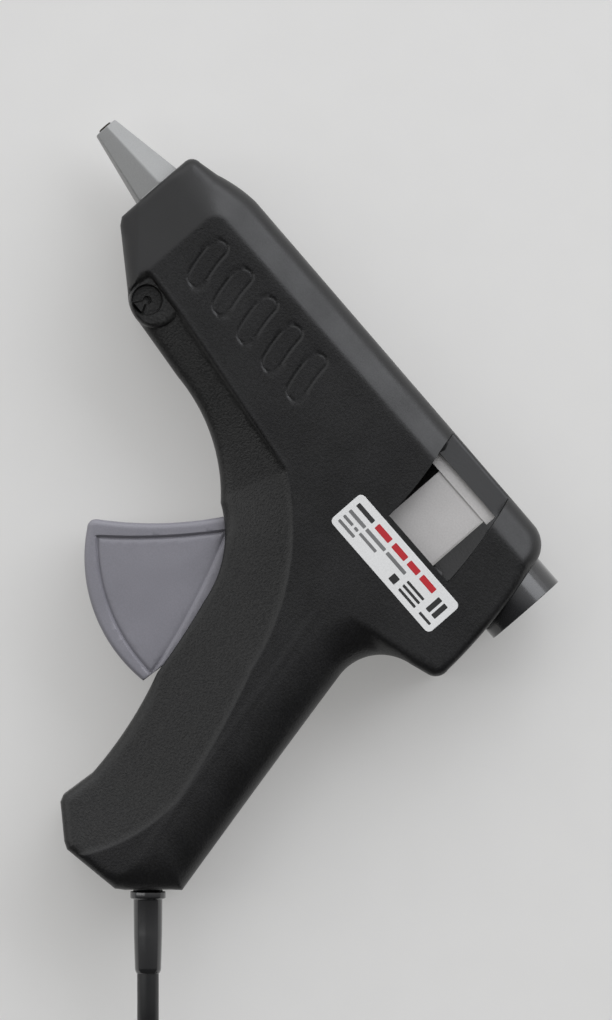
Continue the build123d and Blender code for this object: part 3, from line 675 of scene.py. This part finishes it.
NOSE_MOUTH, INLET_MOUTH, CORD_HOLE = 8.7, 12.5, 4.3  # radii
TRIGGER_PIVOT, TRIGGER_REACH = (96.0, -51.0), 45.8
TRIGGER_SLOT = 9.8  # half width
EDGE = 3.0  # rounding of the outer edge
FINE = (0.04, 0.15, 0.4, 0.8, 1.3, 1.9, 2.6)  # distances from the edge where that needs points
GROOVES = [(26.2 + 10.7 * i, -3.6) for i in range(5)]
GROOVE_LEAN = radians(13)
GROOVE_HALF_LENGTH, GROOVE_HALF_WIDTH = 5.0, 2.9  # between the centres of the round ends; of the oval
SCREW_HOLE, SCREW_FLOOR = 3.1, 8.0
SCREWS = [(23, 13), (76, 13.6), (62, -26), (150, -27), (138, -80), (124, -131)]

outline = trace(OUTLINE)
panel_edge = trace([
    (PANEL_FRONT, -17), (PANEL_FRONT, PANEL_TOP - PANEL_CORNER),
    (PANEL_FRONT + CORNER_CUT, PANEL_TOP - CORNER_CUT, VIA),
    (PANEL_FRONT + PANEL_CORNER, PANEL_TOP), (157, PANEL_TOP),
], closed=False)
chin_crease = trace([(0.5, -6.8), (16.6, -21.7)], closed=False)
near_window, far_window = trace(WINDOW), trace(FAR_WINDOW)
land = trace(LAND, 0.5)
crease = trace(CREASE, closed=False)
band_region = np.vstack([crease, BAND_FAR_SIDE])


def groove_depth(points):
    """Five ovals, leaning back: each a slight recess inside a fine engraved line."""
    depth = np.zeros(len(points))
    for x, y in GROOVES:
        dx, dy = points[:, 0] - x, points[:, 1] - y
        along = dy * cos(GROOVE_LEAN) - dx * sin(GROOVE_LEAN)
        across = dx * cos(GROOVE_LEAN) + dy * sin(GROOVE_LEAN) - 0.012 * (along**2 - 25)
        outside = np.hypot(across, np.maximum(np.abs(along) - GROOVE_HALF_LENGTH, 0)) - GROOVE_HALF_WIDTH
        line = 0.24 * np.exp(-((outside + 0.15) / 0.34) ** 2)
        depth = np.maximum(depth, line + 0.1 * (1 - ramp(outside, -0.45, 0.0)))
    return depth


def past_panel(x, y):
    """Distance past the flat flank's edge at the nose or the top, and how far that is to the top's side."""
    ahead = np.maximum(PANEL_FRONT + PANEL_CORNER - x, 0)
    over = np.maximum(y - PANEL_TOP + PANEL_CORNER, 0)
    reach = np.hypot(ahead, over)
    return reach - PANEL_CORNER, (over / np.maximum(reach, 0.01)) ** 2


def flank(points):
    """Height of the housing's outer face above the parting plane."""
    x, y = points[:, 0], points[:, 1]
    edge = away(points, outline)
    side = np.where(within(points, band_region), 1.0, -1.0) * away(points, crease, closed=False)
    # The front band steps down from the flank, which has a fine lip there, and leans away from it.
    step = 1.25 - 0.95 * ramp(x, 55, 100)
    lean = 0.24 - 0.09 * ramp(x, 60, 105)
    lip = 0.1 * np.exp(-((side + 0.5) / 0.45) ** 2) * (1 - ramp(x, 84, 100)) * ramp(x, 17, 19)
    fall = step * ramp(side, -0.3, 1.1) + lean * np.maximum(side, 0)
    height = PANEL + lip - fall * ramp(x, 16, 19)
    # The nose and the top slope away from the flat flank, and the nose again at its chin.
    past, share = past_panel(x, y)
    slope = NOSE_TAPER + (TOP_TAPER - NOSE_TAPER) * share
    height = soft_min(height, PANEL - slope * past, 0.2 + 0.4 * share)
    below = -((x - CHIN[0]) * CHIN_WAY[0] + (y - CHIN[1]) * CHIN_WAY[1]) / hypot(*CHIN_WAY)
    chin = PANEL + (x - PANEL_FRONT) * NOSE_TAPER - below * CHIN_TAPER + 0.1
    height = soft_min(height, chin, 0.3)
    # The hand's side of the grip falls away behind a soft crest.
    middle = 119 + (-48 - y) * 0.235
    grip = ramp(-y, 34, 40)
    rear = ramp(x - middle, -3, 7) * grip * (1 - 0.55 * ramp(-y, 120, 138))
    crest = 0.14 * np.exp(-((x - middle - 3.2) / 0.9) ** 2) * ramp(-y, 40, 52) * (1 - ramp(-y, 118, 134))
    top = ramp(y, 3, 9) * ramp(x, 2, 14)
    nose = (1 - ramp(x, 0, 6)) * ramp(-y, -11, -4)
    back = ramp(x, 143, 150) * ramp(-y, -8, 2) * (1 - ramp(-y, 26, 33))
    slot = ramp(-y, 46, 54) * (1 - ramp(-y, 90, 98)) * (x < 112)
    width = EDGE + 1.0 * top + 11.0 * rear - 1.6 * nose - 1.0 * back - 1.6 * slot
    drop = EDGE + 2.0 * top + 5.6 * rear - 1.6 * nose - 1.0 * back - 2.2 * slot
    height = height + crest - rounding(edge, width, drop)
    # Boss for a stand, and the socket in it with a wedge on its floor.
    out = np.hypot(x - BOSS[0], y - BOSS[1]) - BOSS[2]
    boss = BOSS_TOP - 0.5 * ramp(out, -0.6, 0.0) - 5.0 * np.maximum(out, 0) - rounding(edge, 1.6, 1.6)
    height = np.maximum(height, boss)
    dx, dy = x - SOCKET[0], y - SOCKET[1]
    hole = np.hypot(dx, dy) - SOCKET[2]
    wedge = 1.1 * ramp(1.9 - 0.55 * (dy + 3.4) - np.abs(dx), -0.25, 0.25) * ramp(dy, -4.0, -3.4)
    height = height - (SOCKET_DEPTH - wedge) * (1 - ramp(hole, -0.45, 0.0))
    # Sunken shelf over the window and ramp behind it.
    gap = np.where(within(points, land), -1.0, 1.0) * away(points, land)
    shelf = LAND_LEVEL - 0.3 * np.maximum(y - WINDOW_TOP, 0)
    shelf = shelf + 0.62 * np.maximum(x - 133.2, 0) * (1 - ramp(y, 7, 13))
    sunken = np.minimum(height, shelf + (PANEL - LAND_LEVEL) * ramp(gap, -0.12, 0.14))
    height = np.where(gap < 0.14, sunken, height)
    return height - groove_depth(points)


def mouths(points):
    """Height at which the half's rim starts, over the openings that it shares with the other half."""
    x, y = points[:, 0], points[:, 1]
    level = np.where(x < 4, np.sqrt(np.maximum(NOSE_MOUTH**2 - y**2, 0)), 0)
    level = np.maximum(level, np.where(x > 146, np.sqrt(np.maximum(INLET_MOUTH**2 - y**2, 0)), 0))
    dx, dy = x - CORD_EXIT[0], y - CORD_EXIT[1]
    across = -dx * sin(CORD_ANGLE) + dy * cos(CORD_ANGLE)
    along = dx * cos(CORD_ANGLE) + dy * sin(CORD_ANGLE)
    cord_hole = np.where(np.abs(along) < 6, np.sqrt(np.maximum(CORD_HOLE**2 - across**2, 0)), 0)
    reach = np.hypot(x - TRIGGER_PIVOT[0], y - TRIGGER_PIVOT[1])
    slot = (x > 79.5) & (x < 112) & (y < -45.9) & (reach < TRIGGER_REACH)
    return np.maximum(np.maximum(level, cord_hole), np.where(slot, TRIGGER_SLOT, 0))


def flank_points(loops, window):
    """Points for the outer face, closest together where it bends most."""
    rim = beside(outline, FINE)
    rim = rim[within(rim, outline) & (away(rim, outline) > 0.03)]
    details = np.vstack([
        beside(window, (-0.3,)), beside(land, (0.14, -0.14)),
        beside(crease, (0, 0.35, -0.35, 0.8, -0.8, 1.3), closed=False),
        beside(panel_edge, (0, 0.3, -0.3, 0.65, -0.65), closed=False),
        beside(chin_crease, (0, 0.3, -0.3), closed=False),
        *[ring(*BOSS[:2], BOSS[2] + out, 0.5) for out in (-0.6, -0.3, 0, 0.12, 0.26, 0.5)],
        *[ring(*SOCKET[:2], SOCKET[2] + out, 0.4) for out in (-0.45, -0.22, 0)],
        lattice((18, -28), (28, -19), 0.35),
    ])
    grooves = lattice((15, -16), (76, 8), 0.34)
    near = np.zeros(len(grooves), bool)
    for x, y in GROOVES:
        level = grooves[:, 1] - y
        near |= (np.abs(grooves[:, 0] - x - 0.22 * level) < 4.2) & (np.abs(level) < 9)
    ordinary = lattice(outline.min(0), outline.max(0), 1.05)
    ordinary = ordinary[away(ordinary, outline) > 2.9]
    fixed = np.vstack(loops)
    chosen = fixed
    for part, gap in ((rim, 0.05), (details, 0.12), (grooves[near], 0.27), (ordinary, 0.6)):
        part = part[within(part, outline) & (away(part, outline) > 0.03)]
        chosen = apart([chosen, part], gap)
    return chosen[len(fixed):]


def housing_half(name, sign, screws):
    """One hollow half of the housing. Sign is 1 for the left half, -1 for the right."""
    window = near_window if sign > 0 else far_window
    loops = [outline, window, ring(*SOCKET[:2], WIRE_HOLE, 0.5)]
    loops += [ring(x, y, SCREW_HOLE, 0.9) for x, y in screws]
    solid = Solid()
    flat, triangles, rings = tiled(loops, flank_points(loops, window))
    edges = solid.sheet(flat, flank(flat), triangles, rings)
    # Inner face, a wall's thickness in.
    lining = beside(outline, (WALL,))
    lining = lining[(away(lining, outline) > WALL * 0.97) & within(lining, outline)]
    hollow = lattice(outline.min(0), outline.max(0), 2.4)
    hollow = hollow[within(hollow, lining)]
    hollow = hollow[(away(hollow, lining) > 1.2) & (away(hollow, window) > 1.2)]
    flat, triangles, rings = tiled([lining, window], hollow)
    thickness = np.where(within(flat, land), THIN_WALL, WALL)
    inner_edge, inner_window = solid.sheet(flat, flank(flat) - thickness, triangles, rings)
    solid.wall(edges[1], inner_window)
    # Rim on the parting plane, with a fine step beside the joint of the halves.
    joint = beside(outline, (0.14,))
    flat, triangles, rings = tiled([joint, lining])
    rim, rim_lining = solid.sheet(flat, np.minimum(mouths(flat), flank(flat) - 0.2), triangles, rings)
    level = np.minimum(mouths(outline), flank(outline) - 0.4) + 0.18
    lower = solid.ring(outline, level)
    solid.wall(edges[0], lower)
    solid.wall(lower, rim)
    solid.wall(rim_lining, inner_edge)
    # Blind holes for the stand's wire and for the screws' heads.
    for edge, loop, floor in zip(edges[2:], loops[2:], [WIRE_FLOOR] + [SCREW_FLOOR] * len(screws)):
        bottom = solid.ring(loop, floor)
        solid.wall(edge, bottom)
        solid.faces.append(tuple(bottom))
    points = np.array(solid.points)
    # The band number strengthens the grain there and also paints the band lighter, standing in for the
    # light that it catches.
    side = np.where(within(points[:, :2], band_region), 1.0, -1.0)
    band = ramp(side * away(points[:, :2], crease, closed=False), -0.2, 0.6)
    plain = ramp(past_panel(points[:, 0], points[:, 1])[0], -0.2, 0.4)
    grain = (0.6 + 0.3 * band) * (1 - 0.75 * plain)
    points[:, 2] *= sign
    return model(name, points, solid.faces, housing_plastic, 40.0, grain=grain, band=band)


placed(housing_half("housing_left", 1, []), "housing", "housing_plastic", "left_shell")
placed(housing_half("housing_right", -1, SCREWS), "housing", "housing_plastic", "right_shell")

# ---------------------------------------------------------------- nozzle
COVER_TURN = radians(8)
COVER_START = TIP_X + 0.5


def hexagon(x, corner, rounding_radius):
    """Hexagonal section of the nozzle's cover, with round corners."""
    points = []
    for k in range(6):
        turn = COVER_TURN + k * pi / 3
        reach = corner - rounding_radius / cos(pi / 6)
        for i in range(9):
            angle = turn + (i / 4 - 1) * pi / 6
            points.append((
                x,
                reach * sin(turn) + rounding_radius * sin(angle),
                reach * cos(turn) + rounding_radius * cos(angle),
            ))
    return points


def circle(x, radius, start=COVER_TURN - pi / 6):
    """Round section with as many points as a hexagonal one."""
    turns = [start + 2 * pi * i / 54 for i in range(54)]
    return [(x, radius * sin(t), radius * cos(t)) for t in turns]


cover = lofted("nozzle_sleeve", [
    hexagon(COVER_START + 0.05, 3.45, 0.5), hexagon(COVER_START + 0.02, 3.62, 0.5),
    hexagon(COVER_START + 0.15, 3.85, 0.6), hexagon(COVER_START + 0.5, 3.98, 0.6),
    hexagon(-0.3, 8.25, 1.0), circle(0.25, 7.9), circle(0.3, 8.2), circle(2.5, 8.3), circle(2.6, 9.5),
    circle(5.1, 9.5), circle(5.2, 9.3), circle(5.2, 6.35), circle(0, 6.35), circle(TIP_X + 1.0, 2.7),
    circle(COVER_START + 0.1, 2.7),
], silicone, 24.0, closed=True)
placed(cover, "housing", "grey_silicone", "nozzle_cover")
tip = turned("nozzle", eased([
    (TIP_X, 0.9), (TIP_X, 1.9), (TIP_X + 0.6, 2.25), (-0.4, 5.9), (5.5, 5.9), (5.5, 4.05), (2.1, 4.05),
    (2.1, 2.6), (-9.5, 2.6), (-11, 1.2), (-19, 1.2), (-19.4, 0.9),
], 0.3), brass)
placed(tip, "housing", "brass", "nozzle_tip")

# ---------------------------------------------------------------- stick inlet
inlet = turned("inlet_collar", eased([
    (134, 6.4), (134, 7.1), (149, 7.1), (149, 12.3), (COLLAR_X - 0.1, 12.3), (COLLAR_X, 12.1),
    (COLLAR_X, 8.4), (COLLAR_X - 0.9, 7.7), (155.5, 6.1), (134.6, 6.1),
], 0.7, 4), inlet_plastic, sides=96)
placed(inlet, "housing", "inlet_plastic", "inlet_guide")

# ---------------------------------------------------------------- trigger
TRIGGER_HALF = 9.3
TRIGGER_OUTLINE = [
    (83.8, -47), (75, -60, VIA), (60.4, -75.2), (59.5, -77, VIA), (60.4, -79), (79.8, -93.3, VIA),
    (103.7, -95.6), (104.2, -88), (104.2, -80), (101.4, -52), (96, -46.4),
]
TRIGGER_PANEL = [
    (87.2, -49.6), (76.4, -64.7, VIA), (64.2, -78.5), (81, -89, VIA), (103.8, -92.5),
    (97.4, -72.5, VIA),
]
trigger_edge = trace(TRIGGER_OUTLINE, 0.6)
trigger_front = trace(TRIGGER_OUTLINE[:6] + [(103.7, -95.6)], 0.6, closed=False)
trigger_panel = trace(TRIGGER_PANEL, 0.6)


def trigger_face(points):
    """Height of the trigger's side above the parting plane: a round rim, a crease and a crowned panel."""
    front = away(points, trigger_front, closed=False)
    foot = ramp(points[:, 1], -79, -84)
    height = TRIGGER_HALF - rounding(front, 1.7 - 0.5 * foot, 1.5 - 0.3 * foot)
    height = height - rounding(away(points, trigger_edge), 0.4, 0.4) * (points[:, 0] > 84)
    inside = np.where(within(points, trigger_panel), 1.0, -1.0) * away(points, trigger_panel)
    crease_depth = 0.55 * np.exp(-((inside - 0.1) / 0.45) ** 2) * (1 - 0.75 * ramp(front, 4, 12))
    return height - crease_depth - 0.55 * ramp(inside, -0.7, 0.1) + 0.25 * ramp(inside, 0.1, 10)


spots = trigger_edge
for part, gap in (
    (beside(trigger_edge, (0.04, 0.15, 0.4, 0.8, 1.3, 1.7, 2.1)), 0.05),
    (beside(trigger_panel, (-0.7, -0.45, -0.2, 0, 0.2, 0.5, 0.9)), 0.12),
    (lattice(trigger_edge.min(0), trigger_edge.max(0), 1.0), 0.5),
):
    part = part[within(part, trigger_edge) & (away(part, trigger_edge) > 0.03)]
    spots = apart([spots, part], gap)
solid = Solid()
flat, triangles, (edge,) = tiled([trigger_edge], spots[len(trigger_edge):])
sides = [solid.sheet(flat, sign * trigger_face(flat), triangles, [edge])[0] for sign in (1, -1)]
solid.wall(*sides)
trigger = model("trigger_blade", solid.points, solid.faces, trigger_plastic, 40.0)
placed(trigger, "trigger", "trigger_plastic", "trigger")
arm_outline = trace([
    (92.9, -49.3), (109.97, -19.28), (114.8, -18, VIA), (116.03, -22.72), (99.1, -52.7), (94.2, -54, VIA),
], 0.8)
arm = slab("trigger_arm", arm_outline[::-1], -3, 3, trigger_plastic, 0.4)
placed(arm, "trigger", "trigger_plastic")

# ---------------------------------------------------------------- label, with plain bars for its print
LABEL_CENTRE = (125.6, -19.5)
LABEL_SIZE = (42.8, 12.1)
LABEL_CORNER = 1.6
LABEL_FOOT, LABEL_TOP = PANEL - 0.1, PANEL + 0.12
label_loop = rounded_box(*LABEL_CENTRE, *LABEL_SIZE, LABEL_CORNER)
card = slab("label_card", label_loop, LABEL_FOOT, LABEL_TOP, label_film, 0.04)
placed(card, "housing", "label", "rating_label")
PRINT = {  # x from, x to, y from, y to
    "label_print_red": (ink_red, [
        (114.2, 120, -17.3, -15.4), (121.4, 126.8, -17.3, -15.4), (128, 132.2, -17.3, -15.4),
        (133.4, 139, -17.3, -15.4),
    ]),
    "label_print_grey": (ink_grey, [
        (105.8, 112.4, -19.8, -18.7), (113, 121, -19.8, -18.7), (121.8, 129.8, -19.8, -18.7),
        (105.8, 109.6, -21.9, -21), (110.4, 111.8, -21.9, -21), (112.6, 119.6, -21.9, -21),
        (105.8, 112.4, -23.8, -22.9),
    ]),
    "label_print_black": (ink_black, [
        (106, 112.8, -17.1, -15.7), (127.6, 130, -23.8, -21.4), (131.8, 138.8, -20.6, -19.8),
        (131.8, 138.8, -22.2, -21.4), (131.8, 138.8, -23.8, -23.0), (140.7, 145.3, -23.8, -23.0),
        (141, 142.6, -21.4, -16.4), (143.4, 145, -21.4, -16.4),
    ]),
}
for name, (ink, bars) in PRINT.items():
    solid = Solid()
    for x0, x1, y0, y1 in bars:
        loop = rounded_box((x0 + x1) / 2, (y0 + y1) / 2, x1 - x0, y1 - y0, 0.25)
        rings = [solid.ring(loop, LABEL_TOP - 0.02), solid.ring(loop, LABEL_TOP + 0.02)]
        solid.wall(*rings)
        solid.faces += [tuple(each) for each in rings]
    placed(model(name, solid.points, solid.faces, ink), "housing", "label")


# ---------------------------------------------------------------- springs
def coil_spring(name, start, end, height, radius, wire_radius, turns, node):
    """Helical spring between two bodies that one joint joins, with closed end turns."""
    path = []
    for i in range(turns * 20 + 1):
        share = i / (turns * 20)
        pitch = ramp(share, 0.0, 1.0) * 0.25 + share * 0.75
        angle = 2 * pi * turns * share
        x = start + wire_radius + (end - start - 2 * wire_radius) * float(pitch)
        path.append((x, height + radius * cos(angle), radius * sin(angle)))
    spring = wire(name, path, wire_radius, spring_steel, 8)
    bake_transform(spring)
    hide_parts(node)


coil_spring("return_coil", 130, 151, -18, 2.3, 0.3, 16, "return_spring")
coil_spring("ball_coil", -9.2, -1.4, 0, 1.95, 0.25, 7, "ball_spring")

# ---------------------------------------------------------------- CAD nodes that stay, with their materials
KEPT = {
    "melt_chamber": cast_aluminium, "chamber_bush": insulator, "ptc_heater": ceramic,
    "heater_electrodes": electrode, "heater_film": film, "heater_clip": spring_steel,
    "inlet_sleeve": red_silicone, "sleeve_clamp": spring_steel, "feed_carriage": carriage_plastic,
    "stick_gripper": bright_steel, "gripper_pin": bright_steel, "check_ball": bright_steel,
    "trigger_pin": bright_steel, "drive_pin": bright_steel, "cord_tail": cord_jacket,
    "lead_wires": wire_sleeve, "crimp_sleeves": electrode, "cord_clamp": insulator,
    "clamp_screws": steel_screw, "housing_screws": steel_screw, "plug_pins": plated_pin,
}
BEVELLED = {"feed_carriage": 0.35, "melt_chamber": 0.3, "cord_clamp": 0.3, "heater_clip": 0.12}
for node, material in KEPT.items():
    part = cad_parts[node]
    part.data.materials.clear()
    part.data.materials.append(material)
    if node in BEVELLED:
        part.modifiers.new("weld", "WELD").merge_threshold = 1e-6
        bevel = part.modifiers.new("bevel", "BEVEL")
        bevel.width = BEVELLED[node] * MM
        bevel.segments = 2
        bevel.limit_method = "ANGLE"
        bevel.angle_limit = radians(35)

# ---------------------------------------------------------------- floor and light
floor_material = moulded("floor", (0.48, 0.477, 0.468), 0.7, 1.5, 0.01, 1.02, speckle=0.0)
floor_shader = floor_material.node_tree.nodes["Principled BSDF"]
floor_shader.inputs["Emission Color"].default_value = (1, 0.99, 0.97, 1)  # a card lit from behind as well
floor_shader.inputs["Emission Strength"].default_value = 0.25
floor_mesh = bpy.data.meshes.new("floor")
floor_mesh.from_pydata([(-4, -4, 0), (4, -4, 0), (4, 4, 0), (-4, 4, 0)], [], [(0, 1, 2, 3)])
floor_mesh.materials.append(floor_material)
floor = bpy.data.objects.new("floor", floor_mesh)
floor.location.z = cad_low.z - 0.0003
bpy.context.scene.collection.objects.link(floor)


def studio(low, high, tint):
    """Soft light that grows from low, near the picture's foot, to high at its head."""
    world = bpy.data.worlds.new("world")
    world.use_nodes = True
    nodes, links = world.node_tree.nodes, world.node_tree.links
    background = nodes["Background"]
    place = nodes.new("ShaderNodeTexCoord")
    along = nodes.new("ShaderNodeVectorMath")
    along.operation = "DOT_PRODUCT"
    along.inputs[1].default_value = view_up
    links.new(place.outputs["Generated"], along.inputs[0])
    strength = spread(nodes, links, along.outputs["Value"], low, high, -0.25, 0.9)
    background.inputs["Color"].default_value = (*tint, 1)
    links.new(strength, background.inputs["Strength"])
    bpy.context.scene.world = world


studio(0.1, 1.65, (0.98, 0.985, 1.0))
bpy.context.scene.view_settings.view_transform = "Standard"


def softbox(name, direction, height, distance, size, power, tint=(1, 1, 1)):
    """Area light on one side of the gun, aimed at it."""
    data = bpy.data.lights.new(name, "AREA")
    data.shape = "RECTANGLE"
    data.size, data.size_y = size
    data.energy = power
    data.color = tint
    lamp = bpy.data.objects.new(name, data)
    target = gun(*VIEW_CENTRE)
    lamp.location = target + direction.normalized() * distance + Vector((0, 0, height))
    lamp.rotation_mode = "QUATERNION"
    lamp.rotation_quaternion = (target - lamp.location).to_track_quat("-Z", "Y")
    bpy.context.scene.collection.objects.link(lamp)


softbox("key_light", view_up * 0.75 + view_right * 0.65, 0.75, 1.1, (1.5, 0.9), 9.0, (0.93, 0.95, 1.0))
softbox("side_light", -view_right, 0.8, 1.0, (0.3, 1.4), 2.0)
